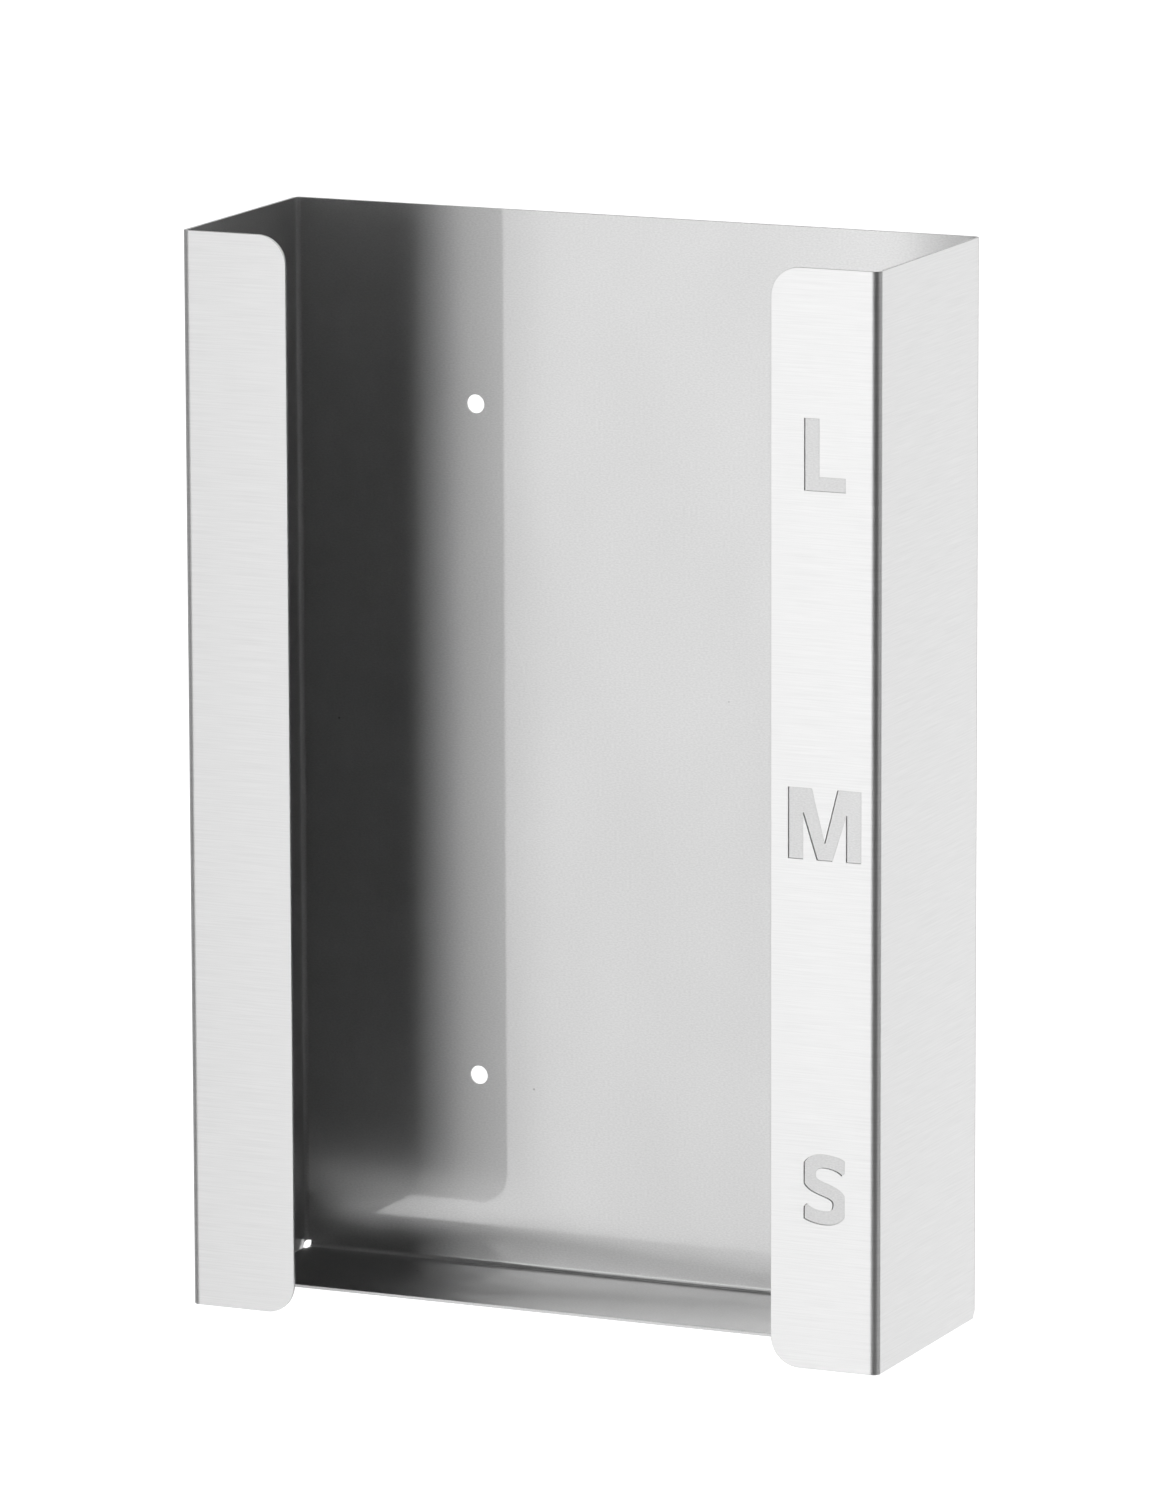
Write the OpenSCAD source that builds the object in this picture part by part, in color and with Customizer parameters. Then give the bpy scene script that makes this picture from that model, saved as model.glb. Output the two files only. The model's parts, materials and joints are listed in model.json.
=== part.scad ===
// Wall dispenser for three boxes of disposable gloves, folded from one sheet of steel.
// The back panel, both sides, both front returns and the bottom shelf are one blank.
// Origin: the middle of the wall holes, on the face that lies against the wall.
// +X is to the right, +Y is into the wall and +Z is up.

/* [Box] */
// Outside width, from side to side
body_w = 250; // [200:1:320]
// Outside depth, from the wall to the front returns
body_d = 88; // [70:1:140]
// Height that one glove box takes up in the stack of three
bay_h = 122; // [100:1:140]

/* [Sheet] */
// Thickness of the steel sheet
sheet_t = 1; // [0.8:0.1:1.5]
// Inside radius of every bend
bend_r = 1.5; // [0.5:0.1:3]

/* [Front returns] */
// Width of each front return, with its bend
return_w = 38; // [36:1:60]
// Radius of the free corners of the returns
return_corner_r = 10; // [2:0.5:20]

/* [Bottom shelf] */
// Depth of the shelf, from the wall to its front edge
shelf_d = 53; // [25:1:65]
// Gap between each end of the shelf and the side next to it
shelf_gap = 0.5; // [0.2:0.1:1.5]
// Room that the corner relief leaves round the bends
relief_w = 0.5; // [0.2:0.1:1.5]
// Length of the relief notch in the shelf, past the bend
relief_run = 2; // [0.5:0.5:6]

/* [Wall holes] */
// Diameter of the four wall holes
hole_d = 6.5; // [3:0.1:9]
// Distance between the holes across the back
hole_dx = 116; // [40:1:170]
// Distance between the holes up the back
hole_dz = 232; // [80:1:260]

/* [Size marks] */
// Height of the cut-out marks L, M and S
mark_h = 23.7; // [15:0.1:25]
// Width of the upright strokes of the marks
stem_w = 5.2; // [3:0.1:5.5]
// Width of the level strokes of the marks
bar_w = 4.6; // [3:0.1:5.5]

/* [Hidden] */
$fn = 96;

bays = 3;
body_h = bays * bay_h;
bottom = -body_h / 2;
bend_out = bend_r + sheet_t;
side_x = body_w / 2;

// Half length of the shelf, and of the neck where it bends out of the back panel
shelf_x = side_x - sheet_t - shelf_gap;
neck_x = min(shelf_x, side_x - bend_out - relief_w);
notch_l = bend_out + relief_run;

// How far a cutting tool reaches past the sheet
past = 1;

// Proportions of the marks, as shares of their height
l_w = 0.61 * mark_h;
m_half = 0.542 * mark_h;
m_shoulder = 0.348 * mark_h;
m_foot = 0.114 * mark_h;
m_vee = -0.26 * mark_h;
m_crotch = 0.152 * mark_h;
s_half = 0.238 * mark_h;
s_cut = 0.304 * mark_h;
s_steps = 7;

// Section of one bend: a quarter of a ring round the bend's centre
module bend_section() {
    intersection() {
        difference() {
            circle(r = bend_out);
            circle(r = bend_r);
        }
        square(bend_out + past);
    }
}

// Right half of the level section, without the back panel: side, return and their bends
module half_section() {
    translate([side_x - sheet_t, bend_out - body_d])
        square([sheet_t, body_d - 2 * bend_out]);
    translate([side_x - bend_out, -bend_out])
        bend_section();
    translate([side_x - bend_out, bend_out - body_d])
        mirror([0, 1])
            bend_section();
    translate([side_x - return_w, -body_d])
        square([return_w - bend_out, sheet_t]);
}

// Level section through the folded sheet: a C that is open at the front
module folded_section() {
    translate([bend_out - side_x, -sheet_t])
        square([body_w - 2 * bend_out, sheet_t]);
    for (s = [0, 1])
        mirror([s, 0])
            half_section();
}

// Upright section through the shelf: its bend and its level part
module shelf_section() {
    translate([-bend_out, bend_out])
        mirror([0, 1])
            bend_section();
    translate([-shelf_d, 0])
        square([shelf_d - bend_out, sheet_t]);
}

// Shelf with a relief notch at each end of its bend
module shelf() {
    difference() {
        translate([-shelf_x, 0, bottom])
            rotate([90, 0, 90])
                linear_extrude(2 * shelf_x)
                    shelf_section();
        for (s = [0, 1])
            mirror([s, 0, 0])
                translate([neck_x, -notch_l, bottom - past])
                    cube([shelf_x - neck_x + past, notch_l + past, bend_out + 2 * past]);
    }
}

// Opening in the foot of the back panel, where the shelf bends out of it
module shelf_mouth() {
    translate([-neck_x, -sheet_t - past, bottom - past])
        cube([2 * neck_x, sheet_t + 2 * past, bend_out + past]);
}

// Round relief that frees both bends at a lower back corner
module corner_relief() {
    translate([neck_x, 0, bottom])
        rotate([0, 90, 0])
            cylinder(r = bend_out + relief_w, h = side_x - neck_x + past);
}

// Waste outside a rounded corner, with the sheet's edges along both axes
module corner_waste() {
    difference() {
        translate([-past, -past])
            square(return_corner_r + past);
        translate([return_corner_r, return_corner_r])
            circle(r = return_corner_r);
    }
}

// Waste at the two free corners of the right return
module return_corners() {
    for (s = [0, 1])
        mirror([0, 0, s])
            translate([side_x - return_w, sheet_t + past - body_d, bottom])
                rotate([90, 0, 0])
                    linear_extrude(sheet_t + 2 * past)
                        corner_waste();
}

// Four clear holes for the wall screws
module wall_holes() {
    for (x = [-1, 1], z = [-1, 1])
        translate([x * hole_dx / 2, past, z * hole_dz / 2])
            rotate([90, 0, 0])
                cylinder(d = hole_d, h = sheet_t + 2 * past);
}

// Mark L: an upright stroke on a level foot
module mark_l() {
    polygon([
        [-l_w / 2, -mark_h / 2],
        [l_w / 2, -mark_h / 2],
        [l_w / 2, bar_w - mark_h / 2],
        [stem_w - l_w / 2, bar_w - mark_h / 2],
        [stem_w - l_w / 2, mark_h / 2],
        [-l_w / 2, mark_h / 2]
    ]);
}

// Mark M: two uprights, and two diagonals that meet in a flat foot
module mark_m() {
    left_side = [
        [-m_foot, -mark_h / 2],
        [stem_w - m_half, m_crotch],
        [stem_w - m_half, -mark_h / 2],
        [-m_half, -mark_h / 2],
        [-m_half, mark_h / 2],
        [m_shoulder - m_half, mark_h / 2]
    ];
    right_side = [for (i = [5:-1:0]) [-left_side[i].x, left_side[i].y]];
    polygon(concat(left_side, [[0, m_vee]], right_side));
}

// Point on a cubic curve with four control points, and the curve's direction there
function curve_at(p, t) =
    p[0] * (1 - t) ^ 3 + p[1] * 3 * t * (1 - t) ^ 2 + p[2] * 3 * t ^ 2 * (1 - t) + p[3] * t ^ 3;
function curve_dir(p, t) =
    (p[1] - p[0]) * (1 - t) ^ 2 + (p[2] - p[1]) * 2 * t * (1 - t) + (p[3] - p[2]) * t ^ 2;

// Half a stroke to the left of a direction: wider where the stroke runs upright
function half_stroke(d) = [-d.y * stem_w, d.x * bar_w] / 2 / norm(d);

// Mark S: a stroke along three curves, from the upper end to the middle, then the same
// turned half a turn. Both ends are cut upright.
module mark_s() {
    a = s_half;
    b = (mark_h - bar_w) / 2;
    curves = [
        [[1.4 * a, 0.72 * b], [a, 0.93 * b], [0.45 * a, b], [-0.08 * a, b]],
        [[-0.08 * a, b], [-0.66 * a, b], [-a, 0.82 * b], [-a, 0.52 * b]],
        [[-a, 0.52 * b], [-a, 0.2 * b], [-0.55 * a, 0.1 * b], [0, 0]]
    ];
    last = s_steps * len(curves);
    places = [for (i = [0:last]) [min(floor(i / s_steps), len(curves) - 1), i]];
    at = [for (q = places) curve_at(curves[q[0]], q[1] / s_steps - q[0])];
    off = [for (q = places) half_stroke(curve_dir(curves[q[0]], q[1] / s_steps - q[0]))];
    intersection() {
        polygon(concat(
            [for (i = [0:last]) at[i] + off[i]],
            [for (i = [last - 1:-1:0]) off[i] - at[i]],
            [for (i = [0:last]) -at[i] - off[i]],
            [for (i = [last - 1:-1:0]) at[i] - off[i]]
        ));
        square([2 * s_cut, 2 * mark_h], center = true);
    }
}

// One mark cut through the right return in the middle of each bay, L in the top one
module size_marks() {
    for (i = [0:bays - 1])
        translate([side_x - return_w / 2, sheet_t + past - body_d, bottom + (bays - i - 0.5) * bay_h])
            rotate([90, 0, 0])
                linear_extrude(sheet_t + 2 * past) {
                    if (i == 0) mark_l();
                    if (i == 1) mark_m();
                    if (i == 2) mark_s();
                }
}

// The whole folded sheet
module dispenser() {
    color("silver") {
        difference() {
            translate([0, 0, bottom])
                linear_extrude(body_h)
                    folded_section();
            shelf_mouth();
            for (s = [0, 1])
                mirror([s, 0, 0]) {
                    corner_relief();
                    return_corners();
                }
            wall_holes();
            size_marks();
        }
        shelf();
    }
}

dispenser();
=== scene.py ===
import json

import bpy
import numpy as np
from mathutils import Matrix, Vector
from mathutils.geometry import delaunay_2d_cdt


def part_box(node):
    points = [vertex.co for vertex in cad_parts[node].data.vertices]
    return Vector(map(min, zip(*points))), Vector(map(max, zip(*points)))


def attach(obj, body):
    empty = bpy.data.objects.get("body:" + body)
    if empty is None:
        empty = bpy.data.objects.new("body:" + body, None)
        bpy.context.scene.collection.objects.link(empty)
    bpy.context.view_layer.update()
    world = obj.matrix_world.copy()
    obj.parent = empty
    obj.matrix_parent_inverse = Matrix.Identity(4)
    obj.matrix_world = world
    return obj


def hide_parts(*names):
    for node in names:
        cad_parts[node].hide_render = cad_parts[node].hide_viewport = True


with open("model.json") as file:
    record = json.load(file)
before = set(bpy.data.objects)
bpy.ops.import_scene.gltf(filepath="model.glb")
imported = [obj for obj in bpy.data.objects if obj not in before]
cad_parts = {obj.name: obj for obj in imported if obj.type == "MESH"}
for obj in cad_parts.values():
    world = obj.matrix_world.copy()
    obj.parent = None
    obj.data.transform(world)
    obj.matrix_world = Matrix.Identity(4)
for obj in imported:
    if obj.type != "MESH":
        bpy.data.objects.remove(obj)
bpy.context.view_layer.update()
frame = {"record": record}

# The blank of the folded sheet
# One flat sheet of 1 mm stainless steel, cut by laser to the shape of the opened-out box.
# A place on it is (s, v) in metres: s runs across from the middle of the back panel, measured
# along the middle of the sheet, and v runs up it. Material lies to the left of each outline.
low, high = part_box("dispenser")
width, depth = high.x - low.x, high.y - low.y
top, bottom = high.z, low.z
sheet_t = 0.001
bend_in = 0.0015
bend_out = bend_in + sheet_t
bend_run = np.pi / 2 * (bend_in + sheet_t / 2)
bend_steps = 12
return_w = 0.038
return_corner_r = 0.010
shelf_d = 0.053
shelf_gap = 0.0005
relief_w = 0.0005
relief_run = 0.002
shelf_x = width / 2 - sheet_t - shelf_gap
neck_x = width / 2 - bend_out - relief_w
relief_r = bend_out + relief_w

# Distances from the middle at which the back bend and the front bend begin and end
back_end = width / 2 - bend_out
side_start = back_end + bend_run
side_end = side_start + depth - 2 * bend_out
return_start = side_end + bend_run
return_end = return_start + return_w - bend_out
bend_share = np.arange(bend_steps + 1) / bend_steps
back_bend = back_end + bend_run * bend_share
front_bend = side_end + bend_run * bend_share
shelf_top = bottom + bend_out
shelf_bend = shelf_top - bend_run * bend_share
shelf_edge = shelf_bend[-1] - (shelf_d - bend_out)


def arc(centre, radius, start, end, steps=14):
    """Points of a circle round centre, evenly spaced from one angle to another, in degrees."""
    a = np.radians(np.linspace(start, end, steps))
    return np.column_stack([centre[0] + radius * np.cos(a), centre[1] + radius * np.sin(a)])


def level(places, v):
    """Points at one height v, at the given distances from the middle."""
    return np.column_stack([places, np.broadcast_to(v, np.shape(places))])


def upright(s, heights):
    """Points at one distance s from the middle, at the given heights."""
    return np.column_stack([np.broadcast_to(s, np.shape(heights)), heights])


# The relief is a circle about the corner, seen from the side, so its height follows the depth:
# height squared is its radius squared less the depth squared, all the way round the bend.
bend_depth = bend_out - (bend_out - sheet_t / 2) * np.cos(np.pi / 2 * bend_share)
relief_height = np.sqrt(relief_r**2 - bend_depth**2)
meet = np.degrees(np.arccos(bend_out / relief_r))
side_relief = arc((side_start - bend_out, bottom), relief_r, meet, 0, steps=7)[1:]
return_x = return_end - return_corner_r
right_half = np.concatenate([
    upright(shelf_x, [shelf_edge, shelf_bend[-1] - relief_run]),
    upright(neck_x, [shelf_bend[-1] - relief_run]),
    upright(neck_x, shelf_bend[::-1]),
    upright(neck_x, [bottom + relief_height[0]]),
    level(back_bend, bottom + relief_height),
    side_relief,
    level(front_bend, bottom),
    arc((return_x, bottom + return_corner_r), return_corner_r, -90, 0),
    arc((return_x, top - return_corner_r), return_corner_r, 0, 90),
    level(front_bend[::-1], top),
    level(back_bend[::-1], top),
])
outline = np.concatenate([right_half, right_half[::-1] * [-1, 1]])

# The wall holes
# Four clear round holes for wall screws, two above two, cut with the blank. Their size and their
# distances are those of the bolt pattern in the record. Each runs clockwise, from 360 degrees down.
pattern = next(m for m in frame["record"]["mounts"] if m["kind"] == "bolt_pattern")["dims"]
hole_r = pattern["hole_r_mm"] / 1000
hole_s = pattern["spacing_x_mm"] / 2000
hole_v = pattern["spacing_y_mm"] / 2000
hole_steps = 48
last_turn = 360 / hole_steps
hole_places = [(x * hole_s, z * hole_v) for x in (-1, 1) for z in (-1, 1)]
holes = [arc(place, hole_r, 360, last_turn, hole_steps) for place in hole_places]

# The size marks
# L, M and S, each cut clean through the right front return in the middle of its bay. They are
# drawn as seen from the front, with (0, 0) at the middle of the mark, and then laid on the blank.
mark_h = 0.0237
stem_w = 0.0052
bar_w = 0.0046
l_w = 0.61 * mark_h
m_half = 0.542 * mark_h
m_shoulder = 0.348 * mark_h
m_foot = 0.114 * mark_h
m_vee = -0.26 * mark_h
m_crotch = 0.152 * mark_h
s_half = 0.238 * mark_h
s_cut = 0.304 * mark_h
s_steps = 15


def mark_l():
    """An upright stroke on a level foot."""
    right, up = l_w / 2, mark_h / 2
    stem, foot = stem_w - right, bar_w - up
    return np.array([[-right, -up], [right, -up], [right, foot], [stem, foot], [stem, up], [-right, up]])


def mark_m():
    """Two uprights, and two diagonals that meet in a flat foot; the right half mirrors the left."""
    up = mark_h / 2
    left = np.array([
        [-m_foot, -up],
        [stem_w - m_half, m_crotch],
        [stem_w - m_half, -up],
        [-m_half, -up],
        [-m_half, up],
        [m_shoulder - m_half, up],
    ])
    return np.concatenate([left, [[0, m_vee]], left[::-1] * [-1, 1]])[::-1]


def mark_s():
    """A stroke along three cubic curves and their half turn. A point of a cubic is the mean of its four
    control points, weighted by (1-t)^3, 3t(1-t)^2, 3t^2(1-t) and t^3, and the stroke is as wide as the
    stem where it runs upright and as the bar where it runs level. Both ends are cut upright."""
    a, b = s_half, (mark_h - bar_w) / 2
    curves = np.array([
        [[1.4 * a, 0.72 * b], [a, 0.93 * b], [0.45 * a, b], [-0.08 * a, b]],
        [[-0.08 * a, b], [-0.66 * a, b], [-a, 0.82 * b], [-a, 0.52 * b]],
        [[-a, 0.52 * b], [-a, 0.2 * b], [-0.55 * a, 0.1 * b], [0, 0]],
    ])
    t = np.linspace(0, 1, s_steps + 1)[:, None]
    weight = np.hstack([(1 - t) ** 3, 3 * t * (1 - t) ** 2, 3 * t**2 * (1 - t), t**3])
    pull = np.hstack([(1 - t) ** 2, 2 * t * (1 - t), t**2])
    at = np.concatenate([(weight @ c)[k > 0:] for k, c in enumerate(curves)])
    along = np.concatenate([(pull @ np.diff(c, axis=0))[k > 0:] for k, c in enumerate(curves)])
    half = along[:, ::-1] * [-stem_w, bar_w] / 2 / np.linalg.norm(along, axis=1)[:, None]
    at, half = np.concatenate([at, -at[-2::-1]]), np.concatenate([half, half[-2::-1]])
    stroke = np.concatenate([at + half, (at - half)[::-1]])
    for side in (1, -1):
        reach = s_cut - side * stroke[:, 0]
        reach_ahead = np.roll(reach, -1)
        share = reach / np.where(reach == reach_ahead, 1, reach - reach_ahead)
        crossing = stroke + share[:, None] * (np.roll(stroke, -1, axis=0) - stroke)
        keep = np.column_stack([reach > 0, (reach > 0) != (reach_ahead > 0)])
        stroke = np.stack([stroke, crossing], axis=1)[keep]
    return stroke


def laid(mark, height):
    """A mark on the right return, where s runs from right to left as seen from the front. The outline
    is turned so that it runs clockwise on the blank, which leaves the material to its left."""
    s = return_start + (back_end - (width / 2 - return_w / 2)) - mark[:, 0]
    placed = np.column_stack([s, height + mark[:, 1]])
    ahead = np.roll(placed, -1, axis=0)
    area = np.sum(placed[:, 0] * ahead[:, 1] - ahead[:, 0] * placed[:, 1]) / 2
    return placed if area < 0 else placed[::-1]


bay_h = (top - bottom) / 3
marks = [laid(mark_l(), bay_h), laid(mark_m(), 0), laid(mark_s(), -bay_h)]

# The folded sheet
# The blank bent to a box: an upright quarter bend at each edge of the back panel and of each
# side, and one level bend that brings the shelf forward. All are pressed round a 1.5 mm radius.


def fold(s, v, n):
    """Place in space of the point (s, v) of the blank, n inward from the outer face. Across the blank
    the path runs straight, turns a quarter about a centre 2.5 mm inside the outer face, and runs
    straight again; the radius there is 2.5 mm less n. The shelf does the same, downwards."""
    a, r = np.abs(s), bend_out - n
    turn = np.pi / 2 * np.clip((a - back_end) / bend_run, 0, 1)
    turn_back = np.pi / 2 * np.clip((a - side_end) / bend_run, 0, 1)
    side_part = np.clip(a - side_start, 0, side_end - side_start)
    return_part = np.clip(a - return_start, 0, None)
    x = np.minimum(a, back_end) + r * np.sin(turn) - r * (1 - np.cos(turn_back)) - return_part
    y = -n - r * (1 - np.cos(turn)) - side_part - r * np.sin(turn_back)
    drop = np.where(a <= shelf_x, shelf_top - v, 0).clip(0)
    dip = np.pi / 2 * np.clip(drop / bend_run, 0, 1)
    y = y - r * (1 - np.cos(dip)) - np.clip(drop - bend_run, 0, None)
    z = np.where(drop > 0, shelf_top - r * np.sin(dip), v)
    return np.stack([np.sign(s) * x, y, z], axis=-1)


def directions(s, v):
    """Unit vectors at (s, v): across the blank, up it, and out of its outer face. Each turns with the
    bends that the point has passed."""
    a, zero = np.abs(s), np.zeros(np.shape(s))
    turn = np.clip((a - back_end) / bend_run, 0, 1) + np.clip((a - side_end) / bend_run, 0, 1)
    turn = turn * np.pi / 2 * np.sign(s)
    drop = np.where(a <= shelf_x, shelf_top - v, 0)
    dip = np.pi / 2 * np.clip(drop / bend_run, 0, 1)
    across = np.stack([np.cos(turn), -np.sin(turn), zero], axis=-1)
    up = np.stack([zero, np.sin(dip), np.cos(dip)], axis=-1)
    out = np.stack([np.sin(turn), np.cos(turn) * np.cos(dip), -np.sin(dip)], axis=-1)
    return across, up, out


# Every cut edge is broken by a small round, so an edge is a profile carried along its outline.
# Each row of the profile is how far in from the cut it lies, how deep, and its turn from the face.
edge_r = 0.00012
quarter = np.radians(np.array([0, 30, 60, 90]))
round_in = edge_r * (1 - np.sin(quarter))
round_deep = edge_r * (1 - np.cos(quarter))
profile_in = np.concatenate([round_in, round_in[::-1]])
profile_deep = np.concatenate([round_deep, sheet_t - round_deep[::-1]])
profile_turn = np.concatenate([quarter, np.pi - quarter[::-1]])
rings = len(profile_in)

loops = [outline, *holes, *marks]
flat = np.concatenate(loops)
count = len(flat)
sizes = np.array([len(loop) for loop in loops])
firsts = np.repeat(np.cumsum(sizes) - sizes, sizes)
lengths = np.repeat(sizes, sizes)
here = np.arange(count)
ahead = firsts + (here - firsts + 1) % lengths
behind = firsts + (here - firsts - 1) % lengths

# The cut faces to the right of the way along it. Two lengths that meet at less than the sharp
# angle share one direction there, so that arcs look round and corners stay crisp.
sharp_angle = np.radians(35)
way = flat[ahead] - flat
way_length = np.linalg.norm(way, axis=1)
cut_out = np.column_stack([way[:, 1], -way[:, 0]]) / way_length[:, None]
both = cut_out + cut_out[behind]
corner = both / (both * cut_out).sum(1)[:, None]
smooth = (cut_out * cut_out[behind]).sum(1) > np.cos(sharp_angle)
mean_out = both / np.linalg.norm(both, axis=1)[:, None]
start_out = np.where(smooth[:, None], mean_out, cut_out)
end_out = np.where(smooth[ahead][:, None], mean_out[ahead], cut_out)

ring_flat = flat[None] - profile_in[:, None, None] * corner[None]
ring_points = fold(ring_flat[..., 0], ring_flat[..., 1], profile_deep[:, None])

# The faces are the blank inside its edges, in triangles that never cross a bend's lines.
face_flat = ring_flat[0]
tolerance = 1e-9


def across_blank(places, axis, reach):
    """Pairs of outline points that end each bend line: those at that place, within reach."""
    near = np.abs(outline[:, axis][None] - places[:, None]) < tolerance
    return [np.flatnonzero(row & reach) for row in near]


anywhere = np.ones(len(outline), bool)
upright_lines = np.concatenate([-back_bend, back_bend, -front_bend, front_bend])
at_neck = np.abs(np.abs(outline[:, 0]) - neck_x) < tolerance
bend_lines = across_blank(upright_lines, 0, anywhere) + across_blank(shelf_bend, 1, at_neck)
constraints = [*zip(here.tolist(), ahead.tolist()), *(tuple(map(int, pair)) for pair in bend_lines)]
made = delaunay_2d_cdt([Vector(p) for p in face_flat], constraints, [], 0, tolerance)
triangles = np.array(made[2])

# A triangle is steel where a level line from its middle to the right meets an odd number of edges.
middle = face_flat[triangles].mean(1)
face_way = face_flat[ahead] - face_flat
lower, upper = face_flat[:, 1], face_flat[ahead][:, 1]
spans = (lower[None] > middle[:, 1:]) != (upper[None] > middle[:, 1:])
slope = face_way[:, 0] / np.where(face_way[:, 1] == 0, 1, face_way[:, 1])
crossing = face_flat[:, 0][None] + (middle[:, 1:] - lower[None]) * slope[None]
inside = (spans & (crossing > middle[:, :1])).sum(1) % 2 == 1
triangles = triangles[inside]

ring = np.arange(rings - 1)[:, None] * count
quads = np.stack([ring + here, ring + ahead, ring + count + ahead, ring + count + here], axis=-1)
outer_faces = triangles[:, ::-1]
inner_faces = triangles + (rings - 1) * count
edge_faces = quads.reshape(-1, 4)

_, _, out = directions(face_flat[:, 0], face_flat[:, 1])
across, up, _ = directions(flat[:, 0], flat[:, 1])


def edge_normals(vertex, cut):
    """Normals along the edge's rings: the cut's own direction times the sine of the profile's turn,
    and the outer face's direction times its cosine."""
    flat_way = cut[:, :1] * across[vertex] + cut[:, 1:] * up[vertex]
    turn = profile_turn[:, None, None]
    return np.sin(turn) * flat_way[None] + np.cos(turn) * out[vertex][None]


start_normals = edge_normals(here, start_out)
end_normals = edge_normals(ahead, end_out)
corners = [start_normals[:-1], end_normals[:-1], end_normals[1:], start_normals[1:]]
edge_corner_normals = np.stack(corners, axis=2).reshape(-1, 3)
face_normals = [out[outer_faces].reshape(-1, 3), -out[triangles].reshape(-1, 3)]
normals = np.concatenate([*face_normals, edge_corner_normals])

# The map of the faces is the blank itself, in metres. The edge's map is the way along its
# outline and the way round its profile.
travel = np.cumsum(way_length) - way_length
profile_step = np.hypot(np.diff(profile_in), np.diff(profile_deep))
profile_way = np.concatenate([[0], np.cumsum(profile_step)])[:, None] * np.ones(count)
edge_u = np.stack([travel, travel + way_length, travel + way_length, travel], axis=-1)
edge_u = np.broadcast_to(edge_u, (rings - 1, count, 4))
edge_v = np.stack([profile_way[:-1], profile_way[:-1], profile_way[1:], profile_way[1:]], axis=-1)
edge_map = np.stack([edge_u, edge_v], axis=-1).reshape(-1, 2)
face_map = [face_flat[outer_faces].reshape(-1, 2), face_flat[triangles].reshape(-1, 2)]


def put(name, data):
    """An object with a mesh, a lamp or a lens, put in the scene at the origin."""
    item = bpy.data.objects.new(name, data)
    bpy.context.scene.collection.objects.link(item)
    return item


# Each face takes one of the three finishes below: 0 outside, 1 inside, 2 on the cut edges.
mesh = bpy.data.meshes.new("folded_sheet")
faces = [*outer_faces.tolist(), *inner_faces.tolist(), *edge_faces.tolist()]
mesh.from_pydata(ring_points.reshape(-1, 3).tolist(), [], faces)
mesh.uv_layers.new(name="blank").uv.foreach_set("vector", np.concatenate([*face_map, edge_map]).ravel())
finish_of = np.repeat([0, 1, 2], [len(outer_faces), len(inner_faces), len(edge_faces)])
mesh.polygons.foreach_set("material_index", finish_of.astype(np.int32))
mesh.polygons.foreach_set("use_smooth", np.ones(len(finish_of), bool))
mesh.normals_split_custom_set(normals.tolist())
sheet = put("folded_sheet", mesh)
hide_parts("dispenser")
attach(sheet, "root")

# The finishes of the sheet
# Outside, stainless steel brushed level with a fine belt. Inside, the smooth cold-rolled face, which
# mirrors with a slight haze. The cut edges are greyer, with the fine ripple that a laser leaves.


def feed(tree, socket, value):
    """Give an input its value: a link from another node's socket, or a constant."""
    if isinstance(value, bpy.types.NodeSocket):
        tree.links.new(value, socket)
    else:
        socket.default_value = value


def fill(tree, node, **inputs):
    """Give a node's inputs their values by name, with low lines for the blanks in the names."""
    for name, value in inputs.items():
        feed(tree, node.inputs[name.replace("_", " ")], value)


def add(tree, kind, settings=(), **inputs):
    """A node of a kind, with its settings and its inputs."""
    node = tree.nodes.new(kind)
    for name, value in dict(settings).items():
        setattr(node, name, value)
    fill(tree, node, **inputs)
    return node


def combine(tree, operation, value, other):
    """One number worked out from two: the first a socket, the second a socket or a constant."""
    node = add(tree, "ShaderNodeMath", {"operation": operation}, Value=value)
    feed(tree, node.inputs[1], other)
    return node.outputs["Value"]


def between(tree, factor, low_value, high_value, start=0.25, end=0.75):
    """A number that goes from one value to another as the factor goes from start to end. Without
    those two it spans the middle half of the factor, where nearly all noise lies."""
    settings = {"From_Min": start, "From_Max": end, "To_Min": low_value, "To_Max": high_value}
    return add(tree, "ShaderNodeMapRange", Value=factor, **settings).outputs["Result"]


def blend(tree, factor, value, other):
    """A number that goes from one value to another as the factor goes from 0 to 1."""
    node = add(tree, "ShaderNodeMix", {"data_type": "FLOAT"}, Factor=factor, A=value, B=other)
    return node.outputs["Result"]


def grey(tree, value):
    """A grey with that number in all three channels."""
    return add(tree, "ShaderNodeCombineColor", Red=value, Green=value, Blue=value).outputs["Color"]


def on_blank(tree):
    """The place on the blank, in metres."""
    return add(tree, "ShaderNodeUVMap", {"uv_map": "blank"}).outputs["UV"]


def streaks(tree, along, across, detail):
    """Noise on the blank, with so many cells to a metre along the brushing and across it."""
    stretch = add(tree, "ShaderNodeMapping", Vector=on_blank(tree), Scale=(along, across, 1.0))
    noise = add(tree, "ShaderNodeTexNoise", Vector=stretch.outputs["Vector"], Scale=1.0, Detail=detail)
    return noise.outputs["Fac"]


def uneven(tree, height, depth, strength):
    """The direction that a surface faces when it rises and falls with a height, depth metres deep."""
    bump = add(tree, "ShaderNodeBump", Height=height, Distance=depth, Strength=strength)
    return bump.outputs["Normal"]


def brush_way(tree):
    """The direction across the blank, in which the belt and the rolls ran."""
    way_across = add(tree, "ShaderNodeTangent", {"direction_type": "UV_MAP", "uv_map": "blank"})
    return way_across.outputs["Tangent"]


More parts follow.
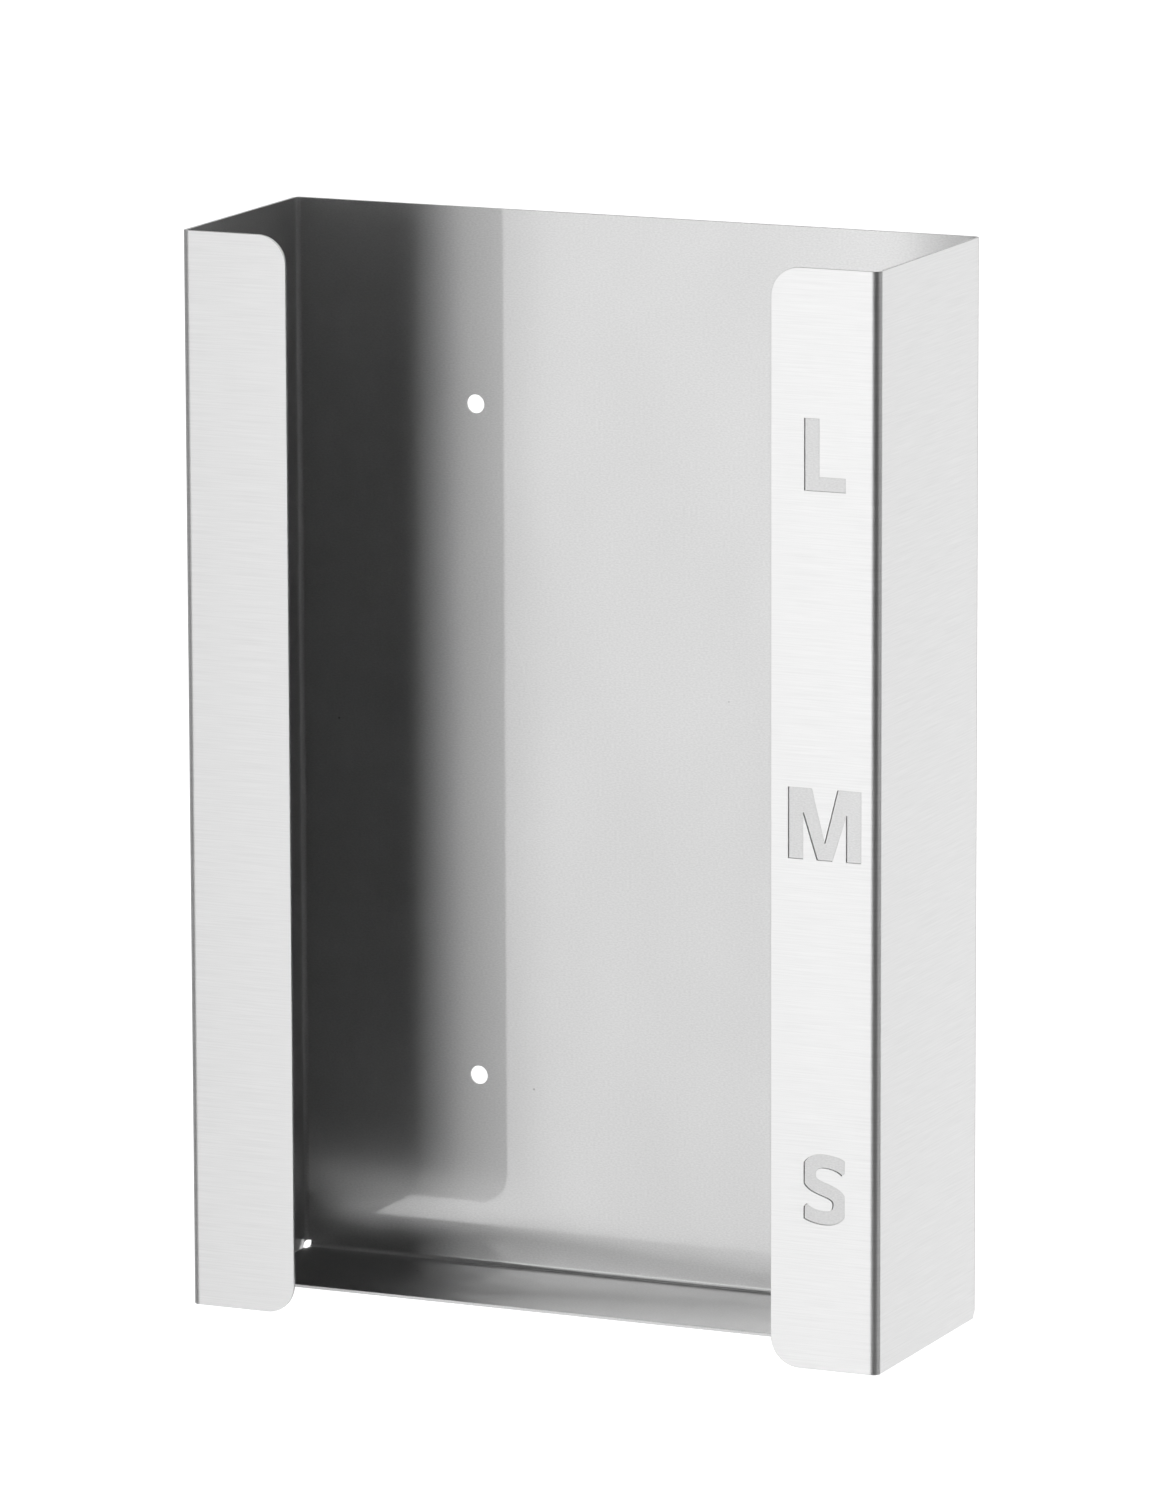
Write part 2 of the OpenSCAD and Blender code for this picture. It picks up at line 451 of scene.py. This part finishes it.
def at_bends(tree):
    """1 on the upright bends and 0 beside them, from the distance to the middle of the blank."""
    parts = add(tree, "ShaderNodeSeparateXYZ", Vector=on_blank(tree))
    size = add(tree, "ShaderNodeMath", {"operation": "ABSOLUTE"}, Value=parts.outputs["X"])
    distance = size.outputs["Value"]
    near, far = 0.4 * bend_run, 0.6 * bend_run
    bends = []
    for centre in ((back_end + side_start) / 2, (side_end + return_start) / 2):
        rise = between(tree, distance, 0.0, 1.0, start=centre - far, end=centre - near)
        fall = between(tree, distance, 1.0, 0.0, start=centre + near, end=centre + far)
        bends.append(combine(tree, "MULTIPLY", rise, fall))
    return combine(tree, "ADD", *bends)


def specks(tree):
    """1 in small pits, strewn one to every tenth cell of 18 mm, and 0 elsewhere. The distance to a
    pit's middle is a share of its cell's width."""
    cells_to_metre = 55.0
    cells = add(tree, "ShaderNodeTexVoronoi", Vector=on_blank(tree), Scale=cells_to_metre)
    pick = add(tree, "ShaderNodeSeparateColor", Color=cells.outputs["Color"])
    chosen = between(tree, pick.outputs["Red"], 0.0, 1.0, start=0.88, end=0.90)
    near = between(tree, cells.outputs["Distance"], 1.0, 0.0, start=0.012, end=0.03)
    return combine(tree, "MULTIPLY", chosen, near)


def scratches(tree):
    """1 along a few hairlines, where a slow noise crosses its middle and another one is high."""
    wander = streaks(tree, along=34, across=6, detail=0.0)
    patch = streaks(tree, along=24, across=19, detail=0.0)
    above = between(tree, wander, 0.0, 1.0, start=0.4988, end=0.4994)
    below = between(tree, wander, 1.0, 0.0, start=0.5006, end=0.5012)
    there = between(tree, patch, 0.0, 1.0, start=0.60, end=0.66)
    return combine(tree, "MULTIPLY", combine(tree, "MULTIPLY", above, below), there)


def bare_material(name):
    """A material, and its node tree with no nodes."""
    material = bpy.data.materials.new(name)
    material.use_nodes = True
    material.node_tree.nodes.clear()
    return material, material.node_tree


def metal(name, **constants):
    """A material with one metal shader, whose constant numbers sit on its own sockets."""
    material, tree = bare_material(name)
    shader = add(tree, "ShaderNodeBsdfPrincipled", Metallic=1.0, **constants)
    add(tree, "ShaderNodeOutputMaterial", Surface=shader.outputs["BSDF"])
    return material, tree, shader


# Outside: long fine lines. The belt doesn't reach round the bends as cleanly, so they are duller.
brushed, tree, shader = metal("brushed_outside", Anisotropic=0.8, Anisotropic_Rotation=0.25)
line = streaks(tree, along=45, across=2100, detail=3.0)
fine = streaks(tree, along=160, across=7000, detail=2.0)
line_grey = between(tree, line, 0.79, 0.86)
fine_rough = between(tree, fine, 0.42, 0.50)
bend_rough = 0.7
fill(
    tree, shader,
    Base_Color=grey(tree, line_grey),
    Roughness=blend(tree, at_bends(tree), fine_rough, bend_rough),
    Normal=uneven(tree, line, depth=0.00001, strength=0.5),
    Tangent=brush_way(tree),
)

# Inside: a fine grain under a clear mirror, with a few pits and hairlines, dull round the bends.
rolled, tree, shader = metal(
    "rolled_inside", Anisotropic=0.95, Coat_Weight=1.0, Coat_Roughness=0.04, Coat_IOR=2.0
)
grain = streaks(tree, along=1100, across=2300, detail=2.0)
cloud = streaks(tree, along=30, across=14, detail=3.0)
grain_grey = between(tree, grain, 0.73, 0.85)
cloud_rough = between(tree, cloud, 0.355, 0.375)
pit_grey = 0.45
scratch_grey = 0.84
pressed_rough = 1.0
pitted = blend(tree, specks(tree), grain_grey, pit_grey)
marked = blend(tree, scratches(tree), pitted, scratch_grey)
fill(
    tree, shader,
    Base_Color=grey(tree, marked),
    Roughness=blend(tree, at_bends(tree), cloud_rough, pressed_rough),
    Normal=uneven(tree, grain, depth=0.00004, strength=0.6),
    Coat_Normal=uneven(tree, grain, depth=0.000004, strength=0.5),
    Tangent=brush_way(tree),
)

# The cut edges: a ripple across the sheet's thickness, close together along the cut.
cut, tree, shader = metal("cut_edge")
ripple = streaks(tree, along=4000, across=300, detail=2.0)
fill(
    tree, shader,
    Base_Color=grey(tree, between(tree, ripple, 0.62, 0.76)),
    Roughness=between(tree, ripple, 0.38, 0.5),
    Normal=uneven(tree, ripple, depth=0.00001, strength=0.4),
)

for finish in (brushed, rolled, cut):
    mesh.materials.append(finish)

# The floor
# A plain pale floor, well below the object, which hangs on a wall in use and touches nothing in the
# photograph. The camera, mirrors and glass see the floor white, less the object's soft shadow.
floor_half = 30.0
floor_drop = 0.6
floor_z = bottom - floor_drop
floor_grey = 0.85
floor_glow = 0.42
white = (1.0, 1.0, 1.0, 1.0)
floor_mesh = bpy.data.meshes.new("floor")
floor_corners = [(x * floor_half, y * floor_half, floor_z) for x, y in ((-1, -1), (1, -1), (1, 1), (-1, 1))]
floor_mesh.from_pydata(floor_corners, [], [(0, 1, 2, 3)])
put("floor", floor_mesh)


def seen(tree):
    """1 for rays from the camera, off metal or through glass, and 0 for the others."""
    path = add(tree, "ShaderNodeLightPath")
    share = combine(tree, "MAXIMUM", path.outputs["Is Camera Ray"], path.outputs["Is Glossy Ray"])
    return combine(tree, "MAXIMUM", share, path.outputs["Is Transmission Ray"])


pale, tree = bare_material("pale_floor")
matt = add(tree, "ShaderNodeBsdfDiffuse", Color=(floor_grey, floor_grey, floor_grey, 1.0))
lift_share = combine(tree, "MULTIPLY", seen(tree), floor_glow)
lift = add(tree, "ShaderNodeEmission", Color=white, Strength=lift_share)
sum_of_both = add(tree, "ShaderNodeAddShader")
tree.links.new(matt.outputs["BSDF"], sum_of_both.inputs[0])
tree.links.new(lift.outputs["Emission"], sum_of_both.inputs[1])
add(tree, "ShaderNodeOutputMaterial", Surface=sum_of_both.outputs["Shader"])
floor_mesh.materials.append(pale)

# The light
# A pale sky, white to the camera and for all else palest overhead, and one wide soft lamp above, to
# the left and in front, that lays the object's shadow on the floor.
sky_low = 0.76
sky_high = 0.95
world = bpy.data.worlds.new("sky")
world.use_nodes = True
tree = world.node_tree
tree.nodes.clear()
path = add(tree, "ShaderNodeLightPath")
place = add(tree, "ShaderNodeTexCoord")
parts = add(tree, "ShaderNodeSeparateXYZ", Vector=place.outputs["Generated"])
by_height = between(tree, parts.outputs["Z"], sky_low, sky_high, start=0.0, end=1.0)
daylight = blend(tree, path.outputs["Is Camera Ray"], by_height, 1.0)
sky = add(tree, "ShaderNodeBackground", Color=white, Strength=daylight)
add(tree, "ShaderNodeOutputWorld", Surface=sky.outputs["Background"])
bpy.context.scene.world = world

lamp = bpy.data.lights.new("soft_lamp", "AREA")
lamp.shape = "RECTANGLE"
lamp.size, lamp.size_y = 2.4, 1.6
lamp.energy = 12
lamp_object = put("soft_lamp", lamp)
lamp_object.location = (-1.4, -1.6, 2.2)
aim = -lamp_object.location
lamp_object.rotation_euler = aim.to_track_quat("-Z", "Y").to_euler()

# The room
# Dark cloth round the front, seen only by metal, with bright windows in it. It is part of a wide ball
# cut off flat just above the floor, and it leaves the pale floor and sky open behind the object.
room_r = 4.0
room_step = 2.0
floor_gap = 0.001
turn = np.radians(np.arange(-160, 141, room_step))
climb = np.radians(np.arange(-50, 91, room_step))
turn, climb = np.meshgrid(turn, climb)
down = np.minimum(np.sin(climb), -1e-6)
reach = np.minimum(np.where(climb < 0, (floor_z + floor_gap) / down, room_r), room_r)[..., None]
ways = np.stack([np.sin(turn) * np.cos(climb), -np.cos(turn) * np.cos(climb), np.sin(climb)], axis=-1)


def ramp(angle, start, end, soft):
    """1 between two angles and 0 outside them, in degrees, with straight soft ends."""
    rise = (np.degrees(angle) - start) / soft + 0.5
    fall = (end - np.degrees(angle)) / soft + 0.5
    return np.clip(rise, 0, 1) * np.clip(fall, 0, 1)


# Each window, in degrees: its left and right edge, as turns to the right of the front, its foot and
# head, as climbs from level, and how soft those two are. The last number is how bright it is.
windows = {
    "left": (-34, -17, -36, 24, 12.0, 1.38),
    "right": (-17, -4, -30, 20, 12.0, 1.2),
    "bright": (-17, -4, -20, 14, 16.0, 1.9),
    "top": (-46, -20, 22, 40, 6.0, 0.5),
    "side": (-72, -34, -30, 30, 8.0, 0.18),
    "far_right": (82, 112, -36, 30, 12.0, 0.8),
    "far_left": (-112, -82, -36, 30, 12.0, 0.8),
    "back": (92, 138, 18, 62, 6.0, 0.6),
}
side_soft = 2.0
glow = np.zeros(turn.shape)
for first, last, foot, head, soft, value in windows.values():
    glow = glow + value * ramp(turn, first, last, side_soft) * ramp(climb, foot, head, soft)

# The cloth hangs all round below 15 degrees, above that from 140 left to 90 right, and at each window.
grid = np.arange(turn.size).reshape(turn.shape)
cloth_faces = np.stack([grid[:-1, :-1], grid[1:, :-1], grid[1:, 1:], grid[:-1, 1:]], axis=-1)
middle_turn = np.degrees(turn[:-1, :-1]) + room_step / 2
middle_climb = np.degrees(climb[:-1, :-1]) + room_step / 2
lit = glow.ravel()[cloth_faces].mean(axis=-1) > 0.5
covered = (middle_climb < 15) | ((middle_turn > -140) & (middle_turn < 90)) | lit
cloth_mesh = bpy.data.meshes.new("tent")
cloth_mesh.from_pydata((ways * reach).reshape(-1, 3).tolist(), [], cloth_faces[covered].tolist())
cloth_glow = cloth_mesh.attributes.new("glow", "FLOAT", "POINT")
cloth_glow.data.foreach_set("value", glow.ravel().astype(np.float32))
tent = put("tent", cloth_mesh)
tent.visible_camera = False
tent.visible_diffuse = False
tent.visible_shadow = False

cloth, tree = bare_material("tent_cloth")
brightness = add(tree, "ShaderNodeAttribute", {"attribute_name": "glow"})
shine = add(tree, "ShaderNodeEmission", Color=white, Strength=brightness.outputs["Fac"])
add(tree, "ShaderNodeOutputMaterial", Surface=shine.outputs["Emission"])
cloth_mesh.materials.append(cloth)

# The camera
# A long lens at the photograph's angle, from the right and a little above, 3.5 m away. It aims at the
# middle of the object, moved a little right and up, which sets the object where the photograph has it.
azimuth, elevation, roll = np.radians([23.952, 10.957, -0.185])
distance = 3.48883
aim_right = 0.001629
aim_up = 0.002281
flat_part = np.cos(elevation)
back = Vector((np.sin(azimuth) * flat_part, -np.cos(azimuth) * flat_part, np.sin(elevation)))
right = Vector((np.cos(azimuth), np.sin(azimuth), 0))
rise = back.cross(right)
turned_right = right * np.cos(roll) + rise * np.sin(roll)
turned_rise = rise * np.cos(roll) - right * np.sin(roll)
target = Vector((0, -0.045, 0.007)) + turned_right * aim_right + turned_rise * aim_up
lens = bpy.data.cameras.new("camera")
lens.lens = 251.16
lens.clip_start, lens.clip_end = 0.1, 100
camera = put("camera", lens)
turned = Matrix((turned_right, turned_rise, back)).transposed().to_4x4()
camera.matrix_world = Matrix.Translation(target + back * distance) @ turned
bpy.context.scene.camera = camera
bpy.context.scene.view_settings.view_transform = "Standard"
